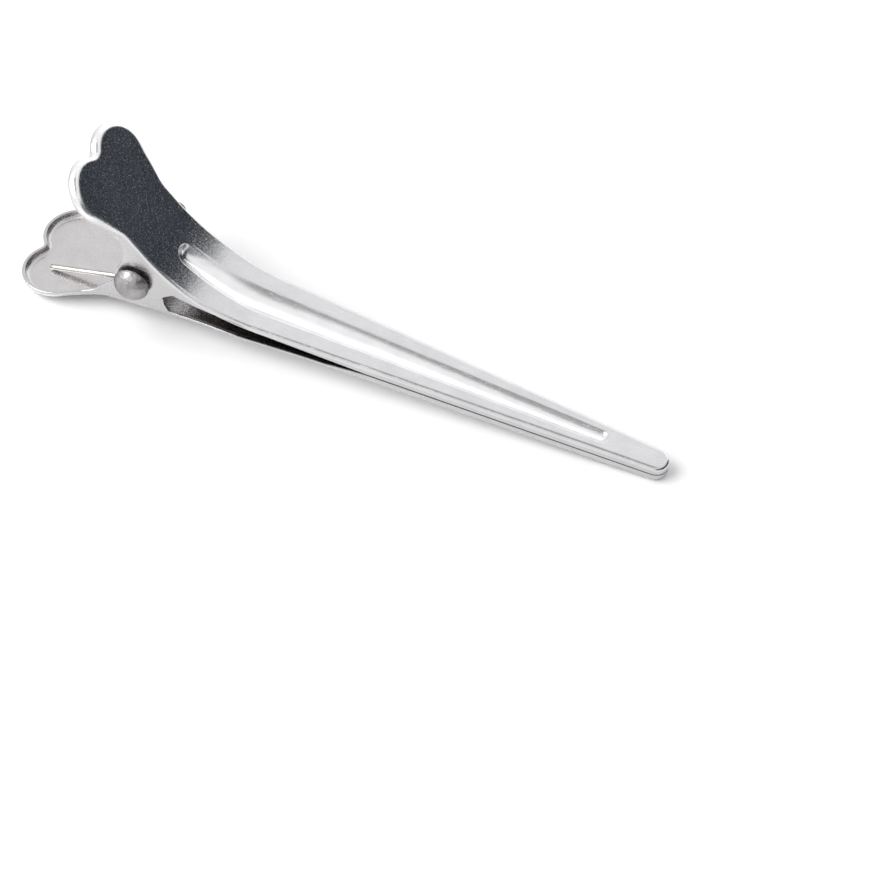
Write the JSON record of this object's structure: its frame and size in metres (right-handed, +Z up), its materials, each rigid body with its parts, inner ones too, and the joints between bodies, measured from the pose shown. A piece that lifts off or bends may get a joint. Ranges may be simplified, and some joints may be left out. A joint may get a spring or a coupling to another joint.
{
  "type": "hair sectioning clip",
  "caption": "Long-jawed stamped aluminium sectioning clip with two-lobed thumb pieces, hinged on a hollow rivet and held shut by a torsion spring.",
  "frame": {"origin": "middle of the clip's footprint, on the surface it lies on", "axes": "+X towards the jaw tips, +Y towards the rivet's hollow tail, +Z up"},
  "size_m": [0.0956, 0.0181, 0.0249],
  "materials": {
    "upper_sheet": "bright rolled aluminium sheet, fine random scratches",
    "lower_sheet": "bright rolled aluminium sheet, softly frosted on the inside",
    "rivet_metal": "tumbled aluminium, faint dents",
    "spring_wire": "drawn bright steel wire"
  },
  "bodies": {
    "lower_body": {"lower_half": "lower_sheet", "rivet": "rivet_metal", "torsion_spring": "spring_wire"},
    "upper_body": {"upper_half": "upper_sheet"}
  },
  "joints": [
    {"name": "jaw_pivot", "type": "hinge", "parent": "lower_body", "child": "upper_body", "pos_m": [-0.03035, -0.00055, 0.00779], "axis": [0, -1, 0], "range_deg": [0, 60], "stiffness_Nm_per_rad": 0.05, "springref_deg": -57.3, "deforming": ["torsion_spring"]}
  ]
}
